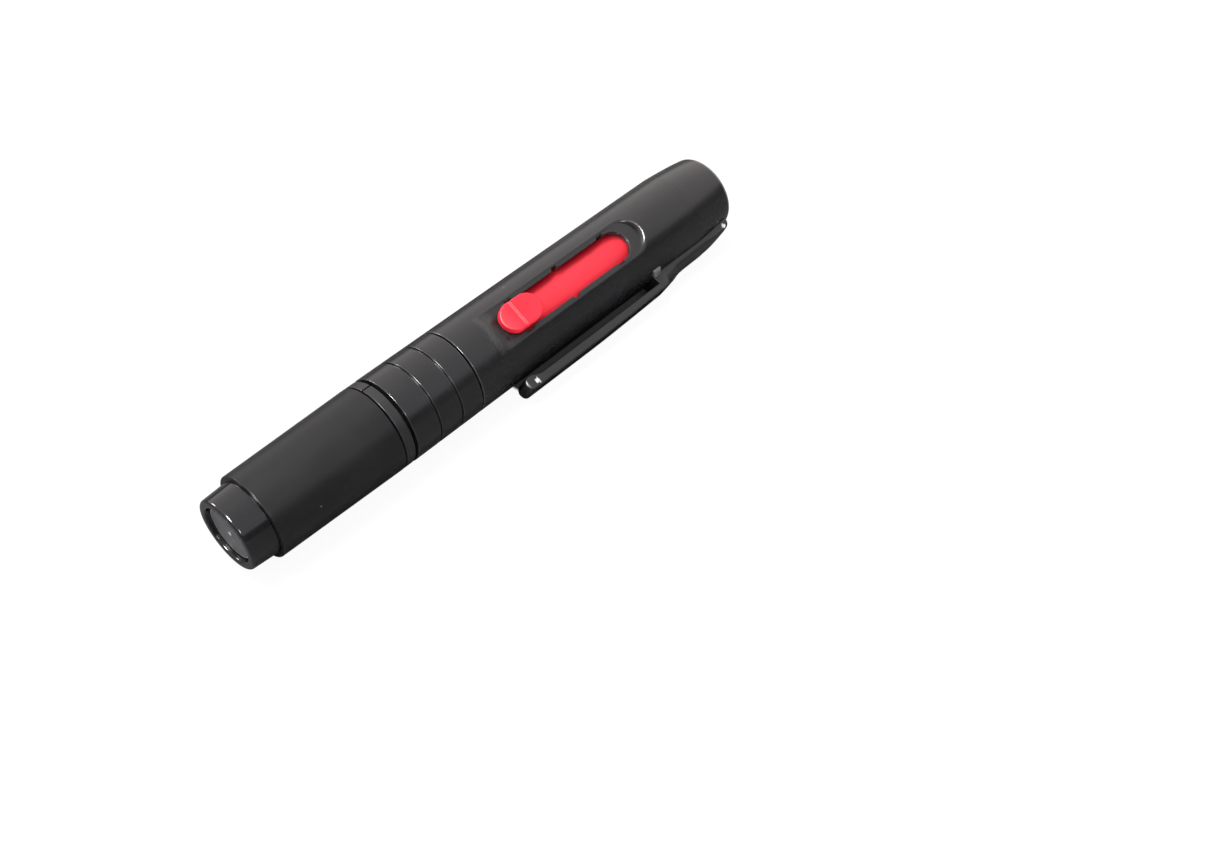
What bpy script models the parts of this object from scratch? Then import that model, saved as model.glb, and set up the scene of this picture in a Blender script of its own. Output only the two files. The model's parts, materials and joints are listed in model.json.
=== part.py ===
"""Lens cleaning pen: a capped cleaning tip at one end, a sliding brush at the other, and a pocket clip.

The pen lies on its side, as it rests on a table: the barrel and the clip's lower edge both touch
the ground plane. Its axis is parallel to X, with the cap's end at low X and the brush's mouth at
high X. Every shape is drawn in the pen's own frame, in which x runs from the cap's end, the slot
looks along +Z and the clip along -Y. One empty carries the pen from that frame to its rest pose.
"""

from math import asin, atan2, cos, hypot, pi, radians, sin

import bmesh
import bpy
from mathutils import Matrix, Vector

MM = 0.001
GAP = 0.3 * MM  # between pieces that touch on the real pen

# Driving dimensions
PEN_LENGTH = 111.4 * MM
BARREL_R = 8.0 * MM
BORE_R = 6.3 * MM
MOUTH_R = 7.12 * MM
BARREL_START = 46.55 * MM
TAPER_START = 101.8 * MM

SLOT_START, SLOT_END, SLOT_HALF = 56.0 * MM, 86.5 * MM, 2.8 * MM
POCKET_START, POCKET_END = 54.8 * MM, 90.1 * MM
FLAT_HEIGHT = 7.05 * MM
NOTCH_PITCH = 11.3 * MM
FIRST_NOTCH = 59.9 * MM
NOTCH_HALF, NOTCH_LENGTH = 3.4 * MM, 1.9 * MM

COLLAR_START, COLLAR_END = 31.95 * MM, BARREL_START - GAP
GROOVES = (36.99 * MM, 41.76 * MM)
GROOVE_WIDTH, GROOVE_DEPTH = 0.34 * MM, 0.4 * MM

SPIGOT_R = BORE_R
SPIGOT_START = 21.5 * MM
RING_START, RING_END = 29.6 * MM, 31.35 * MM
RING_R = 7.95 * MM
SLIT_WIDTH, SLIT_ANGLE = 0.35 * MM, radians(38)  # the angle is from the slot, away from the clip

CAP_START, CAP_END = 4.95 * MM, RING_START - GAP
CAP_R_LOW, CAP_R_HIGH, CAP_BORE_R = 7.58 * MM, 7.97 * MM, 6.6 * MM
PLUG_R_LOW, PLUG_R_HIGH, PLUG_LENGTH = 6.42 * MM, 6.7 * MM, 4.65 * MM
RECESS_R = 5.0 * MM

CLIP_HALF = 2.3 * MM
CLIP_OUTER, CLIP_INNER = 11.0 * MM, 9.3 * MM
CLIP_EDGE = 0.35 * MM
CLIP_ROOT = 89.0 * MM
CLIP_FREE_END = 54.7 * MM
RAIL_OUTER = 9.62 * MM
SADDLE_START, SADDLE_LENGTH, SADDLE_RISE = 88.65 * MM, 1.8 * MM, 0.25 * MM
SADDLE_HALF_ANGLE = radians(28)

BUTTON_START, BUTTON_END, BUTTON_HALF = 55.5 * MM, 63.95 * MM, 2.62 * MM
NECK_START, NECK_END, NECK_HALF = 57.3 * MM, 62.8 * MM, 2.3 * MM
RIDGE_AT, RIDGE_HEIGHT = 58.7 * MM, 8.95 * MM

CARRIER_R = BORE_R - 0.32 * MM
CARRIER_START, CARRIER_END, SOCKET_R = 53.6 * MM, 87.2 * MM, 4.6 * MM
FERRULE_R, FERRULE_WALL = SOCKET_R - GAP, 0.45 * MM
BRISTLE_START, BRISTLE_END = 84.3 * MM, 106.6 * MM

TIP_PIVOT = 17.3 * MM  # where the neck bends at the stem
HEAD_PIVOT = 14.1 * MM  # where the head tips on the neck
PAD_R = 5.1 * MM

# The pen rolls onto its clip until the barrel and the clip's rounded lower corner share one plane.
CORNER_OUT, CORNER_SIDE = CLIP_OUTER - CLIP_EDGE, CLIP_HALF - CLIP_EDGE
ROLL = asin((BARREL_R - CLIP_EDGE) / hypot(CORNER_OUT, CORNER_SIDE)) - atan2(CORNER_SIDE, CORNER_OUT)
# The clip sticks out to the low Y side. This centres the whole pen's width over the origin.
CLIP_REACH = CORNER_OUT * cos(ROLL) + CORNER_SIDE * sin(ROLL) + CLIP_EDGE
AXIS_Y = (CLIP_REACH - BARREL_R) / 2

OUTER_STEPS, INNER_STEPS = 48, 28


def clear_scene():
    for obj in list(bpy.data.objects):
        bpy.data.objects.remove(obj, do_unlink=True)


def finish(name, colour, roughness, metallic=0.0):
    material = bpy.data.materials.new(name)
    material.use_nodes = True
    shader = material.node_tree.nodes["Principled BSDF"]
    shader.inputs["Base Color"].default_value = (*colour, 1.0)
    shader.inputs["Roughness"].default_value = roughness
    shader.inputs["Metallic"].default_value = metallic
    return material


def empty(name, parent=None, at=(0, 0, 0), roll=0.0):
    holder = bpy.data.objects.new(name, None)
    bpy.context.scene.collection.objects.link(holder)
    holder.empty_display_size = 5 * MM
    holder.parent = parent
    holder.location = at
    holder.rotation_euler = (roll, 0, 0)
    return holder


def add(name, bm, material, parent, smooth=True):
    """A mesh drawn in the pen's frame, placed under its parent without moving it."""
    bmesh.ops.recalc_face_normals(bm, faces=bm.faces[:])
    mesh = bpy.data.meshes.new(name)
    bm.to_mesh(mesh)
    bm.free()
    mesh.transform(Matrix.Translation(-pen_place(parent)))
    if smooth:
        mesh.shade_smooth()
        mesh.set_sharp_from_angle(angle=radians(35))
    obj = bpy.data.objects.new(name, mesh)
    bpy.context.scene.collection.objects.link(obj)
    obj.parent = parent
    if material:
        mesh.materials.append(material)
    return obj


def pen_place(holder):
    """Where an empty lies in the pen's own frame."""
    place = Vector()
    while holder is not None and holder.name != "pen_axis":
        place += holder.location
        holder = holder.parent
    return place


def hide(cutter):
    cutter.hide_render = True
    cutter.display_type = "WIRE"
    return cutter


def boolean(obj, cutter, operation="DIFFERENCE"):
    modifier = obj.modifiers.new(cutter.name, "BOOLEAN")
    modifier.operation = operation
    modifier.object = cutter
    modifier.solver = "EXACT"


def turned_mesh(profile, steps):
    """The closed (x, radius) outline, spun about the pen's axis. Points at radius 0 close on it."""
    bm = bmesh.new()
    start = Matrix.Rotation(-ROLL, 4, "X")  # so that one edge line lies at the very bottom
    ring = [bm.verts.new(start @ Vector((x, 0, r))) for x, r in profile]
    edges = [bm.edges.new((a, b)) for a, b in zip(ring, ring[1:] + ring[:1]) if a is not b]
    bmesh.ops.spin(
        bm, geom=ring + edges, cent=(0, 0, 0), axis=(1, 0, 0), angle=2 * pi, steps=steps, use_merge=True
    )
    bmesh.ops.remove_doubles(bm, verts=bm.verts[:], dist=1e-7)
    lone = [e for e in bm.edges if not e.link_faces]
    bmesh.ops.delete(bm, geom=lone, context="EDGES")
    return bm


def turned(name, profile, material, parent, steps=OUTER_STEPS):
    return add(name, turned_mesh(profile, steps), material, parent)


def prism_mesh(outline, low, high, axes):
    """The closed outline pulled from low to high along the third of the named axes."""
    bm = bmesh.new()
    order = ["XYZ".index(letter) for letter in axes]

    def point(u, v, w):
        place = [0, 0, 0]
        for axis, value in zip(order, (u, v, w)):
            place[axis] = value
        return bm.verts.new(place)

    face = bm.faces.new([point(u, v, low) for u, v in outline])
    pulled = bmesh.ops.extrude_face_region(bm, geom=[face])["geom"]
    step = Vector((0, 0, 0))
    step[order[2]] = high - low
    bmesh.ops.translate(bm, vec=step, verts=[v for v in pulled if isinstance(v, bmesh.types.BMVert)])
    return bm


def prism(name, outline, low, high, axes, material, parent, smooth=False):
    return add(name, prism_mesh(outline, low, high, axes), material, parent, smooth)


def stadium(start, end, half, steps=10):
    """A slot's outline from start to end, with round ends."""
    points = []
    for centre, turn in ((end - half, -pi / 2), (start + half, pi / 2)):
        for i in range(steps + 1):
            angle = turn + pi * i / steps
            points.append((centre + half * cos(angle), half * sin(angle)))
    return points


def arc(centre, radius, start, stop, steps):
    """Points on a circle from start to stop, angles in degrees."""
    angles = [radians(start + (stop - start) * i / steps) for i in range(steps + 1)]
    return [(centre[0] + radius * cos(a), centre[1] + radius * sin(a)) for a in angles]


def taper_r(x):
    """The barrel's outer radius: straight, then drawn in to the brush's mouth on a smooth curve."""
    share = max(0.0, (x - TAPER_START) / (PEN_LENGTH - TAPER_START))
    return BARREL_R - (BARREL_R - MOUTH_R) * (0.65 * share + 0.35 * share**3)


def barrel_outer(offset=0.0, rim=0.25 * MM):
    """The barrel's outer line from its mouth back to the collar."""
    stations = [TAPER_START + (PEN_LENGTH - rim - TAPER_START) * i / 7 for i in range(8)]
    line = [(x, taper_r(x) + offset) for x in reversed(stations)]
    return [(PEN_LENGTH, MOUTH_R - rim + offset)] + line


# Barrel side


def pocket_outline():
    """The sunk flat: square at the cap end and round at the brush end."""
    half = 4.3 * MM
    right = arc((POCKET_END - 3.9 * MM, 0), 3.9 * MM, -90, 90, 12)
    return [(POCKET_START, -half), (POCKET_END - 3.9 * MM, -half), *right[1:-1],
            (POCKET_END - 3.9 * MM, half), (POCKET_START, half)]


def notched_slot():
    """The slot's outline, with three pairs of stops let into its sides."""
    points = []
    for side in (-1, 1):
        centre = SLOT_END - SLOT_HALF if side < 0 else SLOT_START + SLOT_HALF
        first = -90 if side < 0 else 90
        run = [FIRST_NOTCH + NOTCH_PITCH * i for i in range(3)]
        for x in run if side < 0 else reversed(run):
            wide, narrow = NOTCH_LENGTH / 2, NOTCH_LENGTH / 4
            for dx, reach in ((-wide, SLOT_HALF), (-narrow, NOTCH_HALF), (narrow, NOTCH_HALF),
                              (wide, SLOT_HALF)):
                points.append((x - side * dx, side * reach))
        points += arc((centre, 0), SLOT_HALF, first, first + 180, 12)
    return points


def barrel(pen, material):
    bore = [(PEN_LENGTH, BORE_R), (BARREL_START, BORE_R)]
    front = [(BARREL_START, BARREL_R - 0.12 * MM), (BARREL_START + 0.12 * MM, BARREL_R)]
    tube = turned("barrel_tube", barrel_outer() + front[::-1] + bore[::-1], material, pen)
    pocket = prism("pocket_cutter", pocket_outline(), FLAT_HEIGHT, 9 * MM, "XYZ", None, pen)
    slot = prism("slot_cutter", notched_slot(), 4 * MM, 9 * MM, "XYZ", None, pen)
    for cutter in (pocket, slot):
        boolean(tube, hide(cutter))


def collar(pen, material):
    edge = 0.12 * MM
    line = [(COLLAR_START, BARREL_R - edge), (COLLAR_START + edge, BARREL_R)]
    for x in GROOVES:
        half = GROOVE_WIDTH / 2
        line += [(x - half - edge, BARREL_R), (x - half / 3, BARREL_R - GROOVE_DEPTH),
                 (x + half / 3, BARREL_R - GROOVE_DEPTH), (x + half + edge, BARREL_R)]
    line += [(COLLAR_END - edge, BARREL_R), (COLLAR_END, BARREL_R - edge)]
    inner = SPIGOT_R + GAP
    turned("front_collar", line + [(COLLAR_END, inner), (COLLAR_START, inner)], material, pen)


def spigot(pen, material):
    """The joining tube. Its front wall has a hole for the tip's stem."""
    wall, hole, inner = 1.3 * MM, 2.8 * MM, 4.6 * MM
    end, step = CARRIER_START - GAP, COLLAR_END
    chamfer = 0.5 * MM
    line = [(SPIGOT_START, hole), (SPIGOT_START, SPIGOT_R - chamfer), (SPIGOT_START + chamfer, SPIGOT_R),
            (step, SPIGOT_R), (step, BORE_R - GAP), (end, BORE_R - GAP), (end, inner),
            (SPIGOT_START + wall, inner), (SPIGOT_START + wall, hole)]
    turned("spigot_core", line, material, pen, INNER_STEPS)


# Clip


def clip_section(x):
    """The clip's outer height above the axis at a station along the pen."""
    droop = 0.4 * MM * max(0.0, (x - 72 * MM) / (18 * MM)) ** 1.5
    return CLIP_OUTER - droop


ROOT_RADIUS = (clip_section(CLIP_ROOT) - CLIP_INNER) / 2


def soften(obj):
    """Rounds the square edges of a moulded piece."""
    bevel = obj.modifiers.new("soft_edges", "BEVEL")
    bevel.width = CLIP_EDGE
    bevel.segments = 2
    bevel.limit_method = "ANGLE"
    bevel.angle_limit = radians(60)


def clip_arm(pen, material):
    """The springing arm, from its rounded root to its turned-in free end."""
    holder = empty("clip_pivot", pen, (CLIP_ROOT, -(CLIP_INNER + ROOT_RADIUS), 0))
    upper = [(x * MM, clip_section(x * MM)) for x in (57, 66, 72, 77, 81, 85, 88)]
    root = arc((CLIP_ROOT, CLIP_INNER + ROOT_RADIUS), ROOT_RADIUS, 90, -90, 6)
    bead = arc((CLIP_FREE_END + 1.3 * MM, 9.65 * MM), 1.15 * MM, -20, -165, 6)
    end = [(CLIP_FREE_END + 0.25 * MM, 10.0 * MM), (CLIP_FREE_END + 0.8 * MM, CLIP_OUTER)]
    outline = end + upper + root + [(58.6 * MM, CLIP_INNER)] + bead
    outline = [(x, -h) for x, h in outline]
    soften(prism("clip_arm", outline, -CLIP_HALF, CLIP_HALF, "XYZ", material, holder, smooth=True))


def clip_base(pen, material):
    """The saddle and rail that carry the arm. The underside follows the barrel."""
    start = CLIP_ROOT + ROOT_RADIUS + GAP
    outline = [(start, 5 * MM), (start, clip_section(start)), (91.4 * MM, 10.48 * MM), (93.2 * MM, 10.2 * MM),
               (94.6 * MM, 9.8 * MM), (96.0 * MM, RAIL_OUTER), (101.5 * MM, 9.54 * MM),
               (104.3 * MM, 9.31 * MM), (106.2 * MM, 9.08 * MM), (108.2 * MM, 8.78 * MM),
               (109.4 * MM, 8.5 * MM), (110.1 * MM, 8.1 * MM), (110.4 * MM, 7.7 * MM), (110.4 * MM, 5 * MM)]
    outline = [(x, -h) for x, h in outline]
    rail = prism("clip_base", outline, -CLIP_HALF, CLIP_HALF, "XYZ", material, pen, smooth=True)
    soften(rail)

    inner, outer, steps = 5 * MM, BARREL_R + GAP + SADDLE_RISE, 8
    ring = []
    for radius, order in ((outer, range(steps + 1)), (inner, range(steps, -1, -1))):
        for i in order:
            angle = SADDLE_HALF_ANGLE * (2 * i / steps - 1)
            ring.append((-radius * cos(angle), radius * sin(angle)))
    band = prism("saddle_shape", ring, SADDLE_START, SADDLE_START + SADDLE_LENGTH, "YZX", None, pen)
    boolean(rail, hide(band), "UNION")
    envelope = barrel_outer(GAP, rim=0.0)
    envelope = [(PEN_LENGTH + 1 * MM, 0), (PEN_LENGTH + 1 * MM, envelope[0][1])] + envelope
    envelope += [(85 * MM, BARREL_R + GAP), (85 * MM, 0)]
    boolean(rail, hide(turned("barrel_envelope", envelope, None, pen)))


# Brush


def button_top(x):
    """The thumb button's height above the axis: a ridge with a scoop on its brush side."""
    crest, high = RIDGE_AT, RIDGE_HEIGHT
    if x <= crest:
        share = (crest - x) / (crest - BUTTON_START)
        return high - 0.4 * MM * share**2
    share = (x - crest) / (BUTTON_END - crest)
    return high - 0.26 * MM - 0.12 * MM * sin(pi * share)


def slide_button(brush, material):
    """A stadium-shaped cap over the slot, on a round-ended neck."""
    base = FLAT_HEIGHT + GAP
    rim = stadium(BUTTON_START, BUTTON_END, BUTTON_HALF, 12)
    obj = prism("slide_button", rim, base, 9.6 * MM, "XYZ", material, brush, smooth=True)
    stations = [BUTTON_START - 1 * MM, BUTTON_START, 57 * MM, RIDGE_AT, RIDGE_AT + 0.25 * MM]
    stations += [RIDGE_AT + 0.25 * MM + (BUTTON_END - RIDGE_AT - 0.25 * MM) * i / 5 for i in range(1, 6)]
    stations.append(BUTTON_END + 1 * MM)
    above = [(x, button_top(min(max(x, BUTTON_START), BUTTON_END))) for x in stations]
    over = [(stations[-1], 12 * MM), (stations[0], 12 * MM)]
    shaver = prism("button_shaver", above + over, -5 * MM, 5 * MM, "XZY", None, brush)
    boolean(obj, hide(shaver))
    soften(obj)
    neck = stadium(NECK_START, NECK_END, NECK_HALF, 8)
    stalk = prism("button_stalk", neck, 5.0 * MM, base + 0.5 * MM, "XYZ", None, brush)
    boolean(obj, hide(stalk), "UNION")


def brush_carrier(brush, material):
    """The red tube that runs in the bore, with a hole for the button's neck."""
    edge = 0.3 * MM
    line = [(CARRIER_START, SOCKET_R), (CARRIER_START, CARRIER_R - edge), (CARRIER_START + edge, CARRIER_R),
            (CARRIER_END - edge, CARRIER_R), (CARRIER_END, CARRIER_R - edge), (CARRIER_END, SOCKET_R)]
    tube = turned("brush_carrier", line, material, brush, INNER_STEPS + 8)
    hole = stadium(NECK_START - GAP, NECK_END + GAP, NECK_HALF + GAP, 8)
    boolean(tube, hide(prism("neck_hole", hole, 3 * MM, 8 * MM, "XYZ", None, brush)))


def brush_head(brush, band, resin, hair):
    inner = FERRULE_R - FERRULE_WALL
    start, end = 80.0 * MM, 89.6 * MM
    lip = 0.2 * MM
    line = [(start, inner), (start, FERRULE_R), (end - 1.2 * MM, FERRULE_R), (end - 1.0 * MM, FERRULE_R - lip),
            (end, FERRULE_R - lip), (end, inner)]
    turned("brush_ferrule", line, band, brush, INNER_STEPS)
    knot = inner - GAP
    line = [(start + GAP, 0), (start + GAP, knot), (BRISTLE_START - GAP, knot), (BRISTLE_START - GAP, 0)]
    turned("brush_root_plug", line, resin, brush, INNER_STEPS)
    line = [(BRISTLE_START, 0), (BRISTLE_START, knot), (end, knot), (93 * MM, 4.1 * MM), (99 * MM, 4.7 * MM),
            (103 * MM, 4.6 * MM), (105.4 * MM, 3.7 * MM), (106.4 * MM, 1.9 * MM), (BRISTLE_END, 0)]
    turned("brush_bristles", line, hair, brush, INNER_STEPS)


# Cleaning tip


def tip(pen, stem_material, rubber, disc, pad):
    flange, rod = 3.9 * MM, 2.5 * MM
    wall_back = SPIGOT_START + 1.3 * MM + GAP
    line = [(TIP_PIVOT + 1.2 * MM, 0), (TIP_PIVOT + 1.2 * MM, rod), (wall_back, rod), (wall_back, flange),
            (wall_back + 1.4 * MM, flange), (wall_back + 1.4 * MM, rod), (29 * MM, rod - 0.4 * MM), (29 * MM, 0)]
    turned("tip_stem", line, stem_material, pen, 24)

    bend = empty("neck_pivot", pen, (TIP_PIVOT, 0, 0))
    foot = 0.9 * MM
    line = [(HEAD_PIVOT + 0.6 * MM, 0), (HEAD_PIVOT + 0.6 * MM, 1.7 * MM), (15.4 * MM, 1.45 * MM),
            (16.4 * MM, 1.6 * MM), (TIP_PIVOT, 2.0 * MM), (TIP_PIVOT + foot * 0.7, 1.7 * MM), (TIP_PIVOT + foot, 0)]
    turned("tip_neck", line, rubber, bend, 24)

    nod = empty("head_pivot", bend, (HEAD_PIVOT - TIP_PIVOT, 0, 0))
    line = [(11.4 * MM, 0), (11.4 * MM, PAD_R), (11.7 * MM, PAD_R + 0.15 * MM), (12.6 * MM, PAD_R),
            (13.2 * MM, 3.4 * MM), (13.6 * MM, 2.1 * MM), (HEAD_PIVOT + 0.3 * MM, 1.8 * MM),
            (HEAD_PIVOT + 0.3 * MM, 0)]
    turned("tip_head", line, disc, nod, INNER_STEPS)
    rim, dish = 10.2 * MM, 0.45 * MM
    face = [(rim + dish * (1 - (r / 4.7) ** 2), r * MM) for r in (0, 1.6, 3.2, 4.7)]
    line = face + [(rim + 0.15 * MM, PAD_R), (11.1 * MM, PAD_R), (11.1 * MM, 0)]
    turned("tip_pad", line, pad, nod, INNER_STEPS)


# Cap


def split_ring(twist, material):
    """The band between cap and collar. Its slit lets it spring over the spigot."""
    edge = 0.1 * MM
    inner = SPIGOT_R + GAP
    line = [(RING_START, inner), (RING_START, RING_R - edge), (RING_START + edge, RING_R),
            (RING_END - edge, RING_R), (RING_END, RING_R - edge), (RING_END, inner)]
    ring = turned("split_ring", line, material, twist)
    half = SLIT_WIDTH / 2
    outline = [(-half, 0), (half, 0), (half, 10 * MM), (-half, 10 * MM)]
    slit = prism("slit_cutter", outline, RING_START - 1 * MM, RING_END + 1 * MM, "YZX", None, twist)
    slit.rotation_euler.x = -SLIT_ANGLE
    boolean(ring, hide(slit))


def cap(sleeve, shell, gloss, disc, cup, foam):
    lip = 0.25 * MM
    slope = (CAP_R_HIGH - CAP_R_LOW) / (CAP_END - CAP_START)
    edge = 0.12 * MM
    line = [(CAP_START, CAP_BORE_R), (CAP_START, CAP_R_LOW - lip)]
    line += [(CAP_START + lip - x, CAP_R_LOW - lip + y) for x, y in arc((0, 0), lip, 20, 90, 3)]
    line += [(CAP_START + 3 * MM, CAP_R_LOW + slope * 3 * MM), (CAP_END - edge, CAP_R_HIGH),
             (CAP_END, CAP_R_HIGH - edge), (CAP_END, CAP_BORE_R)]
    turned("cap_shell", line, shell, sleeve)

    tail_r, tail_end, cavity = CAP_BORE_R - GAP, 9.0 * MM, 5.4 * MM
    floor_front, floor_back = 1.7 * MM, 3.6 * MM
    edge = 0.4 * MM
    line = [(0, RECESS_R + 0.15 * MM), (0, PLUG_R_LOW - edge), (edge * 0.3, PLUG_R_LOW - edge * 0.3),
            (edge, PLUG_R_LOW), (PLUG_LENGTH - 0.1 * MM, PLUG_R_HIGH), (PLUG_LENGTH, PLUG_R_HIGH - 0.1 * MM),
            (PLUG_LENGTH, tail_r), (tail_end, tail_r), (tail_end, cavity), (floor_back, cavity),
            (floor_back, 0), (floor_front, 0), (floor_front, RECESS_R), (0.15 * MM, RECESS_R)]
    turned("cap_end_plug", line, gloss, sleeve)

    r, front, back = RECESS_R - GAP, 0.8 * MM, floor_front - GAP
    line = [(front, 0), (front, r - 0.15 * MM), (front + 0.15 * MM, r), (back, r), (back, 0)]
    turned("cap_end_disc", line, disc, sleeve, INNER_STEPS)

    outer, floor = cavity - GAP, floor_back + GAP
    inner = outer - 0.8 * MM
    line = [(floor, 0), (floor, outer), (8.3 * MM, outer), (8.3 * MM, inner), (floor + 0.9 * MM, inner),
            (floor + 0.9 * MM, 0)]
    turned("refill_cup", line, cup, sleeve, INNER_STEPS)

    base, r = floor + 0.9 * MM + GAP, inner - GAP
    dome = [(8.7 * MM - 0.5 * MM * (y / 3.9) ** 2, y * MM) for y in (3.7, 2.6, 1.3, 0)]
    turned("refill_pad", [(base, 0), (base, r), (7.9 * MM, r)] + dome, foam, sleeve, INNER_STEPS)


def build():
    clear_scene()
    pen = empty("pen_axis", None, (-PEN_LENGTH / 2, AXIS_Y, BARREL_R), ROLL)
    black = (0.018, 0.018, 0.02)
    red = finish("red_plastic", (0.85, 0.03, 0.07), 0.42)

    barrel(pen, finish("barrel_plastic", black, 0.32))
    collar(pen, finish("collar_plastic", black, 0.3))
    spigot(pen, finish("spigot_plastic", black, 0.5))
    clip_base(pen, finish("clip_base_plastic", black, 0.38))
    clip_arm(pen, finish("clip_arm_plastic", black, 0.38))

    brush = empty("brush_travel", pen)
    slide_button(brush, red)
    brush_carrier(brush, finish("carrier_plastic", (0.85, 0.03, 0.07), 0.45))
    brush_head(
        brush,
        finish("ferrule_metal", (0.35, 0.35, 0.36), 0.3, 1.0),
        finish("root_resin", (0.25, 0.17, 0.08), 0.4),
        finish("brush_hair", (0.04, 0.035, 0.03), 0.7),
    )

    tip(
        pen,
        finish("stem_plastic", black, 0.5),
        finish("neck_rubber", (0.03, 0.03, 0.03), 0.8),
        finish("head_plastic", black, 0.5),
        finish("pad_chamois", (0.05, 0.05, 0.05), 0.95),
    )

    twist = empty("cap_twist_axis", pen)
    split_ring(twist, finish("ring_plastic", (0.03, 0.03, 0.032), 0.5))
    cap(
        empty("cap_travel", twist),
        finish("cap_plastic", black, 0.4),
        finish("plug_plastic", black, 0.18),
        finish("disc_plastic", (0.05, 0.05, 0.052), 0.45),
        finish("cup_plastic", (0.5, 0.5, 0.5), 0.5),
        finish("powder_foam", (0.03, 0.03, 0.03), 0.98),
    )


build()
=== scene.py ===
"""Lens cleaning pen: the finished surfaces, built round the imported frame.

Every shape is drawn in the pen's own frame, in millimetres: x runs from the cap's end, the slot
looks along +Z and the clip along -Y. PEN carries that frame to the rest pose in the row's frame.
"""

import json
from math import asin, atan2, cos, pi, radians, sin, sqrt

import bmesh
import bpy
import numpy as np
from mathutils import Matrix, Quaternion, Vector


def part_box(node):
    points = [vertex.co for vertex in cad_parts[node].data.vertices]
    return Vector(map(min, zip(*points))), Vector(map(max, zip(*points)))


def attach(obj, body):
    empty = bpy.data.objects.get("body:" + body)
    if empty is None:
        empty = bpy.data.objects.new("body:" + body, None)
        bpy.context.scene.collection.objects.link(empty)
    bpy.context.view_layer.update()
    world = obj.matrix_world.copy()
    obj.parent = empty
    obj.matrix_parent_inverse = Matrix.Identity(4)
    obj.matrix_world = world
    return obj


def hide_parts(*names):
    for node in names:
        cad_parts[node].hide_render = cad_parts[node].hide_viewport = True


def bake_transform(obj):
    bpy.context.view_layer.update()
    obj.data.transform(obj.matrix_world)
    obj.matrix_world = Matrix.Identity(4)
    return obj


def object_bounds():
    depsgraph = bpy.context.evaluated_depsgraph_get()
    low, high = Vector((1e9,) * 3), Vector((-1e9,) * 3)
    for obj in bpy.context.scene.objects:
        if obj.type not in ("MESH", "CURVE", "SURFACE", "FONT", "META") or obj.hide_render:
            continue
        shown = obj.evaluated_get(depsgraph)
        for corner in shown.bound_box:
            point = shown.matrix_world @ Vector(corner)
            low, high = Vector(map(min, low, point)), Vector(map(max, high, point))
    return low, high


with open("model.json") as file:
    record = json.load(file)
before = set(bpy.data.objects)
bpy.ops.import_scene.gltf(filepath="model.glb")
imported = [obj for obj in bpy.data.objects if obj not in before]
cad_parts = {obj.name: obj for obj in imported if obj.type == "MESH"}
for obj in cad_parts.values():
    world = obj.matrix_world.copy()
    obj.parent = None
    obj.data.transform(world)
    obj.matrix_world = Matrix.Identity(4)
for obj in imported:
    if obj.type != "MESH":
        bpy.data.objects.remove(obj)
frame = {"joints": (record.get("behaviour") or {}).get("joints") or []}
cad_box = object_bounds()

MM = 0.001
joints = {joint["name"]: joint for joint in frame["joints"]}
flex_axis = joints["clip_flex"]["axis"]  # the slot's direction
ROLL = atan2(-flex_axis[1], flex_axis[2])
CAP_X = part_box("cap_end_plug")[0].x
PEN = Matrix.Translation((CAP_X, *joints["cap_twist"]["pos_m"][1:])) @ Matrix.Rotation(ROLL, 4, "X")


def along(node):
    """Where a node starts and ends along the pen, in mm from the cap's end."""
    low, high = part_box(node)
    return (low.x - CAP_X) / MM, (high.x - CAP_X) / MM


def radius(node):
    """The largest radius of a turned node, in mm."""
    low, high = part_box(node)
    return (high.z - low.z) / 2 / MM


# Sizes the frame gives, in mm
BARREL_START, PEN_LENGTH = along("barrel_tube")
COLLAR_START, COLLAR_END = along("front_collar")
RING_START, RING_END = along("split_ring")
CAP_START, CAP_END = along("cap_shell")
BARREL_R = radius("front_collar")
RING_R = radius("split_ring")
CARRIER_R = radius("brush_carrier")
SPIGOT_R = radius("spigot_core")

# Sizes of the details that only show, in mm
GAP = 0.3
BORE_R, MOUTH_R, TAPER_START = 6.3, 7.12, 101.8
FLAT_HEIGHT = 7.05
POCKET_START, POCKET_END, POCKET_ARC = 54.8, 90.1, 4.06
SLOT_START, SLOT_END, SLOT_HALF = 56.0, 86.5, 2.8
FIRST_NOTCH, NOTCH_PITCH, NOTCH_HALF, NOTCH_LENGTH = 59.9, 11.3, 3.4, 1.9
GROOVES, GROOVE_WIDTH, GROOVE_DEPTH = (36.99, 41.76), 0.34, 0.42
SLIT_WIDTH, SLIT_ANGLE = 0.35, radians(38)
SPIGOT_WALL, SPIGOT_INNER = 1.3, 4.6
CLIP_HALF, CLIP_OUTER, CLIP_INNER, CLIP_ROOT = 2.3, 10.99, 9.3, 89.0
CLIP_FREE_END, CLIP_END = 54.7, 110.4
BUTTON_START, BUTTON_END, BUTTON_HALF = 55.5, 63.95, 2.62
RIDGE_AT, RIDGE_HEIGHT = 58.7, 8.95

STEPS = 180
PATCH_START, PATCH_END = 50.5, 92.0  # the stretch of barrel that is meshed round the slot
PATCH_SIDE_STEPS, PATCH_END_STEPS = 84, 18
PATCH_ANGLE = PATCH_END_STEPS * 2 * pi / STEPS


# Meshes


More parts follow.
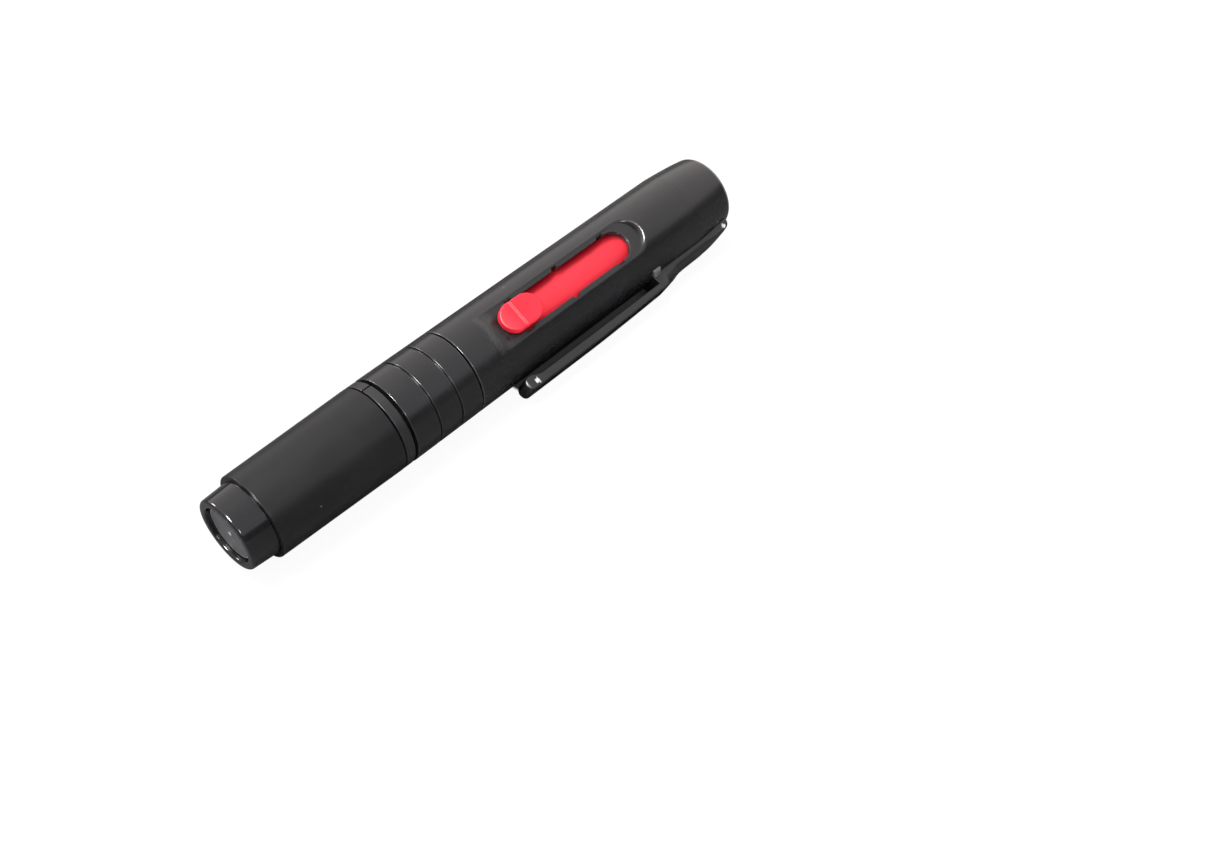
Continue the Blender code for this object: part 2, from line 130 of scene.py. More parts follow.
def rounded(outline, segments=5, beside=0.08):
    """The closed outline with rounded corners.

    A point is (x, y) or (x, y, corner radius). A point of the result is (x, y, wear_and_glint), and
    wear_and_glint is 1 on an outer corner and 0 elsewhere: handling polishes the plastic there, and the
    pale edge colour it brings also paints glints on some pieces. Where there is room, a point that far
    beside the corner keeps its wear_and_glint from spreading along the next face.
    """
    spots = [complex(p[0], p[1]) for p in outline]
    around = list(zip(spots[-1:] + spots[:-1], spots, spots[1:] + spots[:1]))
    turn = sum((a.conjugate() * b).imag for a, b, _ in around)
    result = []
    for (before, here, after), point in zip(around, outline):
        if len(point) < 3:
            result.append((here.real, here.imag, 0.0))
            continue
        u, v = (before - here) / abs(before - here), (after - here) / abs(after - here)
        half = np.arccos(np.clip((u.conjugate() * v).real, -1, 1)) / 2
        reach = min(point[2] / np.tan(half), 0.48 * abs(before - here), 0.48 * abs(after - here))
        centre = here + (u + v) / abs(u + v) * reach / np.cos(half)
        first, last = here + u * reach - centre, here + v * reach - centre
        sweep = np.angle(last / first)
        outer = ((here - before).conjugate() * (after - here)).imag * turn > 0
        if beside and 0.5 * abs(before - here) > reach + 2 * beside:
            spot = here + u * (reach + beside)
            result.append((spot.real, spot.imag, 0.0))
        for i in range(segments + 1):
            spot = centre + first * np.exp(1j * sweep * i / segments)
            result.append((spot.real, spot.imag, float(outer)))
        if beside and 0.5 * abs(after - here) > reach + 2 * beside:
            spot = here + v * (reach + beside)
            result.append((spot.real, spot.imag, 0.0))
    return result


def lathe(outline, steps=STEPS, start=0.0, sweep=2 * pi, skip=None):
    """(points, faces, wear) of an (x, radius, wear) outline turned about the pen's axis.

    Angles run from the slot's direction towards +Y. skip(x, angle) leaves out faces by their middle.
    """
    whole = abs(sweep - 2 * pi) < 1e-6
    columns = steps if whole else steps + 1
    count = len(outline)
    points, faces, wear_and_glint = [], [], []
    for k in range(columns):
        angle = start + sweep * k / steps
        for x, r, wear_and_glint_amount in outline:
            points.append((x, r * sin(angle), r * cos(angle)))
            wear_and_glint.append(wear_and_glint_amount)
    for k in range(steps):
        a, b = k * count, (k + 1) % columns * count
        middle = start + sweep * (k + 0.5) / steps
        for i in range(count):
            j = (i + 1) % count
            if skip is None or not skip((outline[i][0] + outline[j][0]) / 2, middle):
                faces.append((a + i, a + j, b + j, b + i))
    if not whole:
        faces += [tuple(range(count)), tuple(range((columns - 1) * count, columns * count))]
    return points, faces, wear_and_glint


def piece(name, shape, material, sharp=32.0):
    """A closed mesh drawn in the pen's frame, put in its place in the row's frame."""
    points, faces, wear_and_glint = shape
    mesh = bpy.data.meshes.new(name)
    mesh.from_pydata([PEN @ (Vector(p) * MM) for p in points], [], faces)
    mesh.attributes.new("wear_and_glint", "FLOAT", "POINT").data.foreach_set("value", wear_and_glint)
    bm = bmesh.new()
    bm.from_mesh(mesh)
    bmesh.ops.remove_doubles(bm, verts=bm.verts[:], dist=2e-7)
    bmesh.ops.delete(bm, geom=[e for e in bm.edges if not e.link_faces], context="EDGES")
    bmesh.ops.recalc_face_normals(bm, faces=bm.faces[:])
    bm.to_mesh(mesh)
    bm.free()
    mesh.shade_smooth()
    mesh.set_sharp_from_angle(angle=radians(sharp))
    mesh.materials.append(material)
    obj = bpy.data.objects.new(name, mesh)
    bpy.context.scene.collection.objects.link(obj)
    return obj


def join(*shapes):
    """Several (points, faces, wear) shapes as one."""
    points, faces, wear_and_glint = [], [], []
    for more_points, more_faces, more_wear in shapes:
        shift = len(points)
        points += list(more_points)
        faces += [tuple(i + shift for i in face) for face in more_faces]
        wear_and_glint += list(more_wear)
    return points, faces, wear_and_glint


def strip(loops, wear_and_glint_amount=None):
    """Quads between closed loops that all have the same number of points, with one wear for each loop."""
    count = len(loops[0])
    wear_and_glint_amount = wear_and_glint_amount or [0.0] * len(loops)
    points = [tuple(p) for loop in loops for p in loop]
    wear_and_glint = [w for loop, w in zip(loops, wear_and_glint_amount) for _ in loop]
    faces = []
    for n in range(len(loops) - 1):
        for i in range(count):
            j = (i + 1) % count
            faces.append((n * count + i, n * count + j, (n + 1) * count + j, (n + 1) * count + i))
    return points, faces, wear_and_glint


def smooth(share):
    """0 below 0, 1 above 1, and an even S between."""
    share = np.clip(share, 0.0, 1.0)
    return share * share * (3 - 2 * share)


# Materials


def node(tree, kind, inputs=None, **settings):
    """A shader node. A socket given as an input is linked, and any other value is set."""
    made = tree.nodes.new(kind)
    for name, value in settings.items():
        setattr(made, name, value)
    for name, value in (inputs or {}).items():
        if isinstance(value, bpy.types.NodeSocket):
            tree.links.new(value, made.inputs[name])
        else:
            made.inputs[name].default_value = value
    return made


def blank(name):
    """(material, tree, Principled shader, position in mm with x from the cap's end)"""
    material = bpy.data.materials.new(name)
    material.use_nodes = True
    tree = material.node_tree
    where = node(tree, "ShaderNodeTexCoord").outputs["Object"]
    shifted = node(tree, "ShaderNodeVectorMath", {0: where, 1: (CAP_X, 0, 0)}, operation="SUBTRACT")
    inputs = {0: shifted.outputs[0], 1: (1 / MM,) * 3}
    scaled = node(tree, "ShaderNodeVectorMath", inputs, operation="MULTIPLY")
    return material, tree, tree.nodes["Principled BSDF"], scaled.outputs[0]


def noise(tree, where, scale, stretch=(1, 1, 1), detail=2.0):
    """Noise of so many features per mm."""
    drawn = node(tree, "ShaderNodeVectorMath", {0: where, 1: stretch}, operation="MULTIPLY")
    made = node(tree, "ShaderNodeTexNoise", {"Vector": drawn.outputs[0], "Scale": scale, "Detail": detail})
    return made.outputs["Fac"]


def ramp(tree, value, low, high, out_low=0.0, out_high=1.0):
    inputs = {"Value": value, "From Min": low, "From Max": high, "To Min": out_low, "To Max": out_high}
    return node(tree, "ShaderNodeMapRange", inputs, interpolation_type="SMOOTHSTEP").outputs["Result"]


def times(tree, a, b, operation="MULTIPLY"):
    return node(tree, "ShaderNodeMath", {0: a, 1: b}, operation=operation).outputs[0]


def mix(tree, share, a, b):
    made = node(tree, "ShaderNodeMix", {"Factor": share}, data_type="RGBA")
    for socket, value in ((made.inputs[6], a), (made.inputs[7], b)):
        if isinstance(value, bpy.types.NodeSocket):
            tree.links.new(value, socket)
        else:
            socket.default_value = (*value, 1.0)
    return made.outputs[2]


def lint(tree, where, size, share):
    """Specks of dust: one spot of that size in some cells of a 3-D pattern of 1 / 0.55 mm."""
    cells = node(tree, "ShaderNodeTexVoronoi", {"Vector": where, "Scale": 0.55})
    spot = ramp(tree, cells.outputs["Distance"], size, size * 0.5)
    pick = node(tree, "ShaderNodeSeparateColor", {"Color": cells.outputs["Color"]})
    chosen = times(tree, pick.outputs[0], 1.0 - share, "GREATER_THAN")
    return times(tree, spot, chosen)


def ragged_spot(tree, where, place, size):
    """A mark round a place given in the pen's frame, with a ragged edge."""
    spot = (PEN @ (Vector(place) * MM) - Vector((CAP_X, 0, 0))) / MM
    far = node(tree, "ShaderNodeVectorMath", {0: where, 1: spot}, operation="DISTANCE").outputs["Value"]
    ragged = times(tree, noise(tree, where, 3.0, (1, 0.7, 0.7), 4.0), size * 2.2)
    return ramp(tree, times(tree, far, ragged, "ADD"), size * 2.05, size * 1.5)


def moulded(name, colour, roughness, grain=0.06, scratched=0.3, dusty=0.05, wear_and_glint_amount=0.5, specular=0.5,
            wear_and_glint_colour=None, painted_glints=(), dulled=()):
    """Moulded plastic: fine grain, flow marks, hairline scratches, dust, polished edges in a pale edge
    colour that also paints glints on some pieces, pale spots painting glints, and places dulled by the
    thumb."""
    material, tree, shader, where = blank(name)
    flow = ramp(tree, noise(tree, where, 0.16, (0.5, 1, 1), 3.0), 0.3, 0.7)
    hair = ramp(tree, noise(tree, where, 1.0, (0.22, 9, 9), 1.0), 0.70, 0.78)
    cross = ramp(tree, noise(tree, where, 1.0, (14, 0.5, 0.5), 1.0), 0.73, 0.80)
    patchy = ramp(tree, noise(tree, where, 0.4), 0.42, 0.62)
    scratches = times(tree, times(tree, hair, cross, "MAXIMUM"), patchy)
    edge = node(tree, "ShaderNodeAttribute", attribute_name="wear_and_glint").outputs["Fac"]
    wear_and_glint_mask = times(tree, edge, ramp(tree, noise(tree, where, 1.1, detail=4.0), 0.35, 0.65, 0.7, 1.0))
    dust = lint(tree, where, 0.075, dusty)

    lighter = tuple(min(1.0, c * 1.12 + 0.001) for c in colour)
    # The pale edge colour shows handled, polished edges; on some pieces it also paints glints along them.
    wear_and_glint_tone = wear_and_glint_colour or tuple(min(1.0, c * 1.7 + 0.012) for c in colour)
    tone = mix(tree, flow, colour, lighter)
    tone = mix(tree, times(tree, scratches, 0.35 * scratched), tone, wear_and_glint_tone)
    tone = mix(tree, times(tree, wear_and_glint_mask, 0.55 * wear_and_glint_amount), tone, wear_and_glint_tone)
    # Painted glints: pale spots round the given places stand in for highlights.
    for place, size in painted_glints:
        tone = mix(tree, ragged_spot(tree, where, place, size), tone, (0.80, 0.76, 0.72))
    tree.links.new(mix(tree, times(tree, dust, 0.6), tone, (0.42, 0.40, 0.37)), shader.inputs["Base Color"])

    rough = ramp(tree, flow, 0.0, 1.0, roughness * 0.96, roughness * 1.05)
    rough = times(tree, rough, times(tree, scratches, 0.18 * scratched), "ADD")
    rough = times(tree, rough, times(tree, wear_and_glint_mask, 0.25 * roughness), "SUBTRACT")
    rough = times(tree, rough, times(tree, dust, 0.5), "ADD")
    for place, size in dulled:
        rough = times(tree, rough, times(tree, ragged_spot(tree, where, place, size), 0.35), "ADD")
    tree.links.new(rough, shader.inputs["Roughness"])
    shader.inputs["Specular IOR Level"].default_value = specular

    fine = noise(tree, where, 11.0, detail=3.0)
    relief = times(tree, fine, times(tree, dust, 1.5), "ADD")
    inputs = {"Height": relief, "Strength": grain, "Distance": 0.03 * MM}
    first = node(tree, "ShaderNodeBump", inputs)
    swell = noise(tree, where, 0.22, (0.35, 1, 1))
    inputs = {"Height": swell, "Strength": 0.015, "Distance": 0.1 * MM, "Normal": first.outputs[0]}
    tree.links.new(node(tree, "ShaderNodeBump", inputs).outputs[0], shader.inputs["Normal"])
    return material


def foam(name, colour, pores, depth, powder):
    """Open foam or suede, with a nap of that many features per mm and loose powder on it."""
    material, tree, shader, where = blank(name)
    cells = node(tree, "ShaderNodeTexVoronoi", {"Vector": where, "Scale": pores}).outputs["Distance"]
    nap = noise(tree, where, pores * 2.4, detail=4.0)
    tone = mix(tree, ramp(tree, cells, 0.1, 0.7), tuple(c * 0.45 for c in colour), colour)
    tone = mix(tree, ramp(tree, nap, 0.5, 0.75, 0.0, 0.6), tone, powder)
    tree.links.new(tone, shader.inputs["Base Color"])
    tree.links.new(ramp(tree, nap, 0.2, 0.8, 0.85, 1.0), shader.inputs["Roughness"])
    shader.inputs["Sheen Weight"].default_value = 0.35
    shader.inputs["Sheen Roughness"].default_value = 0.5
    shader.inputs["Specular IOR Level"].default_value = 0.25
    relief = times(tree, cells, nap, "ADD")
    inputs = {"Height": relief, "Strength": 0.8, "Distance": depth * MM}
    tree.links.new(node(tree, "ShaderNodeBump", inputs).outputs[0], shader.inputs["Normal"])
    return material


def spun_metal(name, colour, roughness):
    """Rolled metal band: fine lines round the axis, with dull patches."""
    material, tree, shader, where = blank(name)
    lines = noise(tree, where, 1.0, (45, 0.4, 0.4), 2.0)
    dull = ramp(tree, noise(tree, where, 0.5, detail=4.0), 0.4, 0.7)
    tree.links.new(mix(tree, dull, colour, tuple(c * 0.7 for c in colour)), shader.inputs["Base Color"])
    rough = times(tree, ramp(tree, lines, 0.3, 0.7, roughness * 0.8, roughness * 1.3),
                  times(tree, dull, 0.1), "ADD")
    tree.links.new(rough, shader.inputs["Roughness"])
    shader.inputs["Metallic"].default_value = 1.0
    inputs = {"Height": lines, "Strength": 0.25, "Distance": 0.02 * MM}
    tree.links.new(node(tree, "ShaderNodeBump", inputs).outputs[0], shader.inputs["Normal"])
    return material


def hair_finish(name, root, tip):
    """Brush hair: darker at the root, with a soft streaked sheen."""
    material, tree, shader, where = blank(name)
    tuft_start, tuft_end = along("brush_bristles")
    x = node(tree, "ShaderNodeSeparateXYZ", {"Vector": where}).outputs["X"]
    tone = mix(tree, ramp(tree, x, tuft_start + 6, tuft_end), root, tip)
    streak = ramp(tree, noise(tree, where, 1.0, (0.3, 6, 6)), 0.35, 0.7)
    tone = mix(tree, times(tree, streak, 0.5), tone, tuple(c * 0.4 for c in root))
    tree.links.new(tone, shader.inputs["Base Color"])
    tree.links.new(ramp(tree, streak, 0.0, 1.0, 0.38, 0.55), shader.inputs["Roughness"])
    shader.inputs["Anisotropic"].default_value = 0.5
    return material


def resin(name, colour):
    """Cloudy cast resin."""
    material, tree, shader, where = blank(name)
    cloud = ramp(tree, noise(tree, where, 0.7, detail=4.0), 0.3, 0.7)
    tree.links.new(mix(tree, cloud, colour, tuple(c * 0.5 for c in colour)), shader.inputs["Base Color"])
    tree.links.new(ramp(tree, cloud, 0.0, 1.0, 0.25, 0.45), shader.inputs["Roughness"])
    inputs = {"Height": noise(tree, where, 2.0), "Strength": 0.3, "Distance": 0.1 * MM}
    tree.links.new(node(tree, "ShaderNodeBump", inputs).outputs[0], shader.inputs["Normal"])
    return material


BLACK = (0.010, 0.010, 0.0105)
RED = (0.80, 0.008, 0.028)


# Barrel


def taper(x):
    """The barrel's outer radius: straight, then drawn in to the brush's mouth."""
    share = np.clip((x - TAPER_START) / (PEN_LENGTH - TAPER_START), 0.0, 1.0)
    return BARREL_R - (BARREL_R - MOUTH_R) * (0.65 * share + 0.35 * share**3)


def around(right, side, left):
    """A closed loop from its half at +Y: end to end, with a fixed number of points in each stretch."""
    half = np.array([*right[:-1], *side[:-1], *left])
    return np.concatenate([half, (half * (1, -1))[-2:0:-1]])


def slot_loop():
    """The slot's outline, with three pairs of stops let into its sides."""
    ends = np.linspace(0, pi / 2, PATCH_END_STEPS + 1)
    right = [(SLOT_END - SLOT_HALF * (1 - cos(a)), SLOT_HALF * sin(a)) for a in ends]
    left = [(SLOT_START + SLOT_HALF * (1 - sin(a)), SLOT_HALF * cos(a)) for a in ends]
    corners = [(SLOT_START + SLOT_HALF, SLOT_HALF)]
    for i in range(3):
        x, wide, narrow = FIRST_NOTCH + NOTCH_PITCH * i, NOTCH_LENGTH / 2, NOTCH_LENGTH / 4
        corners += [(x - wide, SLOT_HALF), (x - narrow, NOTCH_HALF), (x + narrow, NOTCH_HALF),
                    (x + wide, SLOT_HALF)]
    corners.append((SLOT_END - SLOT_HALF, SLOT_HALF))
    xs = np.linspace(corners[0][0], corners[-1][0], PATCH_SIDE_STEPS + 1)
    for x, _ in corners:
        xs[np.argmin(abs(xs - x))] = x
    ys = np.interp(xs, *zip(*corners))
    return around(right, list(zip(xs, ys))[::-1], left)


def pocket_loop(k):
    """The sunk flat's outline: soft across the cap end, straight sides, a round wall at the brush end.

    k runs from -1 at the foot of the wall to 1 at its top, and a little past both.
    """
    centre, arc = POCKET_END - POCKET_ARC - 0.3, POCKET_ARC - 0.2 + 0.42 * k
    half = min(sqrt(BARREL_R**2 - FLAT_HEIGHT**2) + 0.14 * k, 0.995 * arc)
    ends = np.linspace(0, 1, PATCH_END_STEPS + 1)
    right = [(centre + arc * cos(a), arc * sin(a)) for a in ends * asin(half / arc)]
    start = POCKET_START - 0.8 - 1.6 * k
    side = [(x, half) for x in np.linspace(right[-1][0], start, PATCH_SIDE_STEPS + 1)]
    left = [(start, half * (1 - t)) for t in ends]
    return around(right, side, left)


def patch_loop(r):
    """The patch's outline on a cylinder of radius r, on the turned surface's own grid."""
    angles = np.linspace(0, PATCH_ANGLE, PATCH_END_STEPS + 1)
    right = [(PATCH_END, r * sin(a)) for a in angles]
    side = [(x, r * sin(PATCH_ANGLE)) for x in np.linspace(PATCH_END, PATCH_START, PATCH_SIDE_STEPS + 1)]
    left = [(PATCH_START, r * sin(a)) for a in angles[::-1]]
    return around(right, side, left)


def outward(loop):
    """Unit normals of a closed loop, pointing out."""
    ahead, behind = np.roll(loop, -1, 0) - loop, loop - np.roll(loop, 1, 0)

    def unit(vectors):
        return vectors / np.linalg.norm(vectors, axis=1)[:, None]

    tangent = unit(unit(ahead) + unit(behind))
    return np.stack([tangent[:, 1], -tangent[:, 0]], 1)


def on_cylinder(loop, r):
    """The loop laid on a cylinder of radius r, on the slot's side."""
    return np.column_stack([loop, np.sqrt(r * r - loop[:, 1] ** 2)])


def slot_patch():
    """The barrel's skin round the slot: bore, slot wall, sunk floor, pocket wall and outside."""
    slot = slot_loop()
    slot_out, rim = outward(slot), 0.12

    def flat(loop, height):
        return np.column_stack([loop, np.full(len(loop), height)])

    def pocket_wall(k):
        loop = pocket_loop(k)
        outside = np.sqrt(BARREL_R**2 - loop[:, 1] ** 2)
        inside = np.minimum(outside, FLAT_HEIGHT)
        return np.column_stack([loop, inside + (outside - inside) * sin(pi / 4 * (min(k, 1.0) + 1))])

    edge = patch_loop(BARREL_R)
    bore_edge = patch_loop(BORE_R)
    loops = [on_cylinder(bore_edge, BORE_R), on_cylinder((bore_edge + slot) / 2, BORE_R),
             on_cylinder(slot, BORE_R), flat(slot, FLAT_HEIGHT - 0.45)]
    wear_and_glint_amount = [0, 0, 0.3, 0]
    for turn in np.linspace(0, pi / 2, 5):
        loops.append(flat(slot + slot_out * rim * (1 - cos(turn)), FLAT_HEIGHT - rim * (1 - sin(turn))))
        wear_and_glint_amount.append(0.25)
    last = slot + slot_out * rim
    inner = pocket_loop(-1.15)
    for share in (0.35, 0.7, 1.0):
        loops.append(flat(last + (inner - last) * share, FLAT_HEIGHT))
        wear_and_glint_amount.append(0)
    for k in (-1.0, -0.75, -0.5, -0.25, 0.0, 0.25, 0.5, 0.75, 1.0, 1.15):
        loops.append(pocket_wall(k))
        wear_and_glint_amount.append(0.3 if 0.3 < k < 1.1 else 0)
    far = pocket_loop(1.3)
    loops += [on_cylinder((far + edge) / 2, BARREL_R), on_cylinder(edge, BARREL_R)]
    wear_and_glint_amount += [0, 0]
    return strip(loops, wear_and_glint_amount)


def barrel_tube(material):
    """The long tube: turned, with the patch round the slot let in."""
    stations = list(np.linspace(PATCH_START, PATCH_END, PATCH_SIDE_STEPS + 1))
    tapered = list(np.linspace(TAPER_START, PEN_LENGTH, 16))[:-1]
    outer = [(BARREL_START, BARREL_R, 0.14)] + [(x, BARREL_R) for x in stations]
    mouth = PEN_LENGTH - 0.001  # a micrometre short, to stay inside the frame's box
    outer += [(x, taper(x)) for x in tapered] + [(mouth, MOUTH_R, 0.4)]
    bore = [(mouth, BORE_R, 0.2)] + [(x, BORE_R) for x in stations[::-1]]
    bore.append((BARREL_START, BORE_R))

    def in_patch(x, angle):
        angle = (angle + pi) % (2 * pi) - pi
        return PATCH_START < x < PATCH_END and abs(angle) < PATCH_ANGLE

    # Past the taper's start the edge weights are tripled, so the mouth's rim carries a painted reflection
    # in the pale edge colour.
    line = [(x, r, 3 * wear_and_glint_amount if x > TAPER_START else wear_and_glint_amount) for x, r, wear_and_glint_amount in rounded(outer + bore)]
    shape = join(lathe(line, skip=in_patch), slot_patch())
    obj = piece("barrel_tube_skin", shape, material)
    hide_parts("barrel_tube")
    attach(obj, "barrel")


def front_collar(material):
    """The three bands between barrel and ring, parted by fine grooves."""
    edge = 0.18
    line = [(COLLAR_START, SPIGOT_R + GAP), (COLLAR_START, BARREL_R, edge)]
    groove = ((-1, 0, 0.12), (-1, GROOVE_DEPTH, 0.06), (1, GROOVE_DEPTH, 0.06), (1, 0, 0.16))
    for x in GROOVES:
        for side, depth, corner in groove:
            line.append((x + side * GROOVE_WIDTH / 2, BARREL_R - depth, corner))
    line += [(COLLAR_END, BARREL_R, edge), (COLLAR_END, SPIGOT_R + GAP)]
    obj = piece("front_collar_skin", lathe(rounded(line)), material)
    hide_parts("front_collar")
    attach(obj, "barrel")


def spigot_core(material):
    """The tube that the cap slides over, with two low beads that grip it."""
    start, end = along("spigot_core")
    hole, bead = 2.8, 0.14
    line = [(start, hole, 0.15), (start, SPIGOT_R, 0.5)]
    for x in (24.2, 27.4):
        line += [(x - 0.45, SPIGOT_R), (x - 0.2, SPIGOT_R + bead, 0.1), (x + 0.2, SPIGOT_R + bead, 0.1),
                 (x + 0.45, SPIGOT_R)]
    line += [(COLLAR_END, SPIGOT_R), (COLLAR_END, BORE_R - GAP), (end, BORE_R - GAP, 0.2),
             (end, SPIGOT_INNER), (start + SPIGOT_WALL, SPIGOT_INNER), (start + SPIGOT_WALL, hole)]
    obj = piece("spigot_core_skin", lathe(rounded(line), 120), material)
    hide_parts("spigot_core")
    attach(obj, "barrel")


# Clip


def clip_line(x):
    """(outer, inner) height of the arm above the pen's axis, from the free end to the root."""
    outer = CLIP_OUTER - 0.4 * max(0.0, (x - 72) / 18) ** 1.5
    lead = (x - CLIP_FREE_END) / 1.1
    if lead < 1:  # the free end is hooked: it rises from the bead to the outer face
        outer = 9.75 + (outer - 9.75) * sqrt(max(0.0, 1 - (1 - lead) ** 2))
    bead_at, bead_r, bead_h = CLIP_FREE_END + 1.3, 1.2, 9.65
    inner = CLIP_INNER
    if abs(x - bead_at) < bead_r:
        inner = min(inner, bead_h - sqrt(bead_r**2 - (x - bead_at) ** 2))
    if x > bead_at:
        back = smooth((x - bead_at) / 2.9)
        inner = min(inner, bead_h - bead_r + (CLIP_INNER - bead_h + bead_r) * back)
    return outer, inner


# The rail's outer height above the pen's axis, as (x, height)
RAIL = ((88.7, 10.64), (90.0, 10.62), (91.4, 10.5), (93.2, 10.2), (94.6, 9.85), (95.6, 9.68), (97.0, 9.6),
        (101.5, 9.53), (104.3, 9.3), (106.2, 9.07), (108.2, 8.77), (109.4, 8.48), (109.9, 8.2),
        (110.2, 7.92), (CLIP_END, 7.5))


def clip_section(x, outer, inner, half, corner, foot):
    """One closed section across the clip. inner is a function of the place across it.

    corner rounds the two outer edges, and foot the two inner ones.
    """

    def bend(side, height, r, start):
        """A quarter turn at one side. start counts quarter turns from the +Z side."""
        angles = np.linspace(start, start + 1, 6) * pi / 2
        return [(side * (half - r) + r * cos(a), height + r * sin(a)) for a in angles]

    def run(r, steps):
        """The places across between two bends."""
        return [(half - r) * (1 - 2 * i / steps) for i in range(1, steps)]

    points = bend(1, outer - corner, corner, 0)
    points += [(across, outer) for across in run(corner, 6)]
    points += bend(-1, outer - corner, corner, 1)
    points += bend(-1, inner(half) + foot, foot, 2)
    points += [(-across, inner(across)) for across in run(foot, 10)]
    points += bend(1, inner(half) + foot, foot, 3)
    return [(x, -h, across) for across, h in points]


def clip(material):
    """Arm, root and rail in one moulding, hung on no body. The real clip bends at its root when lifted."""
    loops, post, lean = [], CLIP_ROOT + 0.1, 0.5  # the root's post leans that far towards the cap
    tip = [CLIP_FREE_END + 1.1 * (1 - cos(a)) for a in np.linspace(0.12, pi / 2, 9)]
    arm = [*tip, *np.linspace(56.1, 59.4, 12), *np.linspace(60.2, 86.4, 34), *np.linspace(86.8, post, 9)]
    for x in arm:
        outer, inner = clip_line(x)
        short = max(0.0, 0.8 - (x - CLIP_FREE_END)) / 0.8
        half = CLIP_HALF - 0.5 * (1 - sqrt(max(0.0, 1 - short**2)))
        corner = min(0.36, (outer - inner) * 0.45)
        loops.append(clip_section(x, outer, lambda _, h=inner: h, half, corner, min(0.3, corner)))
    # The rail's stations are closest where its outline turns
    for x in (post + 0.04, 89.4, 89.7, 90.0, 90.4, 91, 91.5, 91.7, 91.9, 92.1, 92.4, 93.2, 93.9, 94.6, 95.1,
              95.6, 96.3, 97, 98.5, 100, 101.5, 103, 104.3, 105.3, 106.2, 107.2, 108.2, 108.8, 109.2, 109.5,
              109.8, 110.05, 110.25, CLIP_END):
        outer = float(np.interp(x, *zip(*RAIL)))
        skin = float(taper(min(x, PEN_LENGTH))) - 0.05
        short = max(0.0, x - (CLIP_END - 0.9)) / 0.9
        half = CLIP_HALF - 0.7 * (1 - sqrt(max(0.0, 1 - short**2)))
        corner = 0.36 + 1.8 * float(smooth((x - 90.4) / 1.4)) - 1.4 * float(smooth((x - 101) / 6))
        corner = min(corner, (outer - sqrt(skin**2 - half**2)) * 0.97, half * 0.9)
        corner = max(corner, 0.05)
        loops.append(clip_section(x, outer, lambda z, r=skin: sqrt(r * r - z * z), half, corner, 0.02))
    for i, (x, y, z) in enumerate(loops[len(arm)]):
        share = np.clip((CLIP_INNER + y) / (CLIP_INNER - BARREL_R), 0, 1)
        loops[len(arm)][i] = (x - lean * share, y, z)
    points, faces, _ = strip(loops)
    count = len(loops[0])
    corners = (1, 2, 3, 4, 12, 13, 14, 15)  # the places in a section where its outer corners turn
    wear_and_glint = [0.3 if i % count in corners else 0.0 for i in range(len(points))]
    faces += [tuple(range(count)), tuple(range(len(points) - count, len(points)))]
    obj = piece("clip_moulding", (points, faces, wear_and_glint), material, 40.0)
    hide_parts("clip_arm", "clip_base")
    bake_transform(obj)


def clip_saddle(material):
    """The low band round the barrel that backs the clip's root. Its wings reach towards the cap."""
    half_angle, rise, edge, end, sunk = 28.0, 0.42, 0.16, 90.4, 0.05  # the angle is in degrees
    top, foot = BARREL_R + rise, BARREL_R - sunk
    loops = []
    for turn in np.linspace(-half_angle, half_angle, 49):
        start = 89.9 - 1.25 * float(smooth((abs(turn) - 10) / 9))
        low = rise * (1 - sqrt(max(0.0, 1 - max(0.0, (abs(turn) - half_angle + 1.4) / 1.4) ** 2))) * 0.8
        angle = -pi / 2 + radians(turn)
        corners = [(start, foot), (start, top - low, edge), (end, top - low, edge), (end, foot)]
        section = rounded(corners, 4, None)
        loops.append([(x, r * sin(angle), r * cos(angle)) for x, r, _ in section])
        wear_and_glint_amount = [w for _, _, w in section]  # the same in every section
    points, faces, _ = strip(loops)
    count = len(loops[0])
    faces += [tuple(range(count)), tuple(range(len(points) - count, len(points)))]
    obj = piece("clip_saddle", (points, faces, wear_and_glint_amount * len(loops)), material)
    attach(obj, "barrel")


# Brush


def button_top(x):
    """The thumb button's height: a ridge across it, a narrow hollow, then a scoop towards the brush."""
    if x <= RIDGE_AT:
        return RIDGE_HEIGHT - 0.4 * ((RIDGE_AT - x) / (RIDGE_AT - BUTTON_START)) ** 2
    past = x - RIDGE_AT
    hollow = 0.34 * float(smooth((past - 0.06) / 0.2)) - 0.10 * float(smooth((past - 0.36) / 0.24))
    scoop = 0.14 * sin(pi * past / (BUTTON_END - RIDGE_AT))
    return RIDGE_HEIGHT - hollow - scoop


def button_rim(inset):
    """The button's outline, as its points at +Y from the cap side to the brush side."""
    half = BUTTON_HALF - inset
    left, right = BUTTON_START + BUTTON_HALF, BUTTON_END - BUTTON_HALF
    turn = np.linspace(0, pi / 2, 19)
    points = [(left - half * cos(a), half * sin(a)) for a in turn]
    points += [(RIDGE_AT + d, half) for d in (-0.25, -0.1, -0.04, 0, 0.05, 0.1, 0.16, 0.22, 0.3, 0.38, 0.46,
                                              0.55, 0.65, 0.9, 1.4, 2.0)]
    return points + [(right + half * sin(a), half * cos(a)) for a in turn]


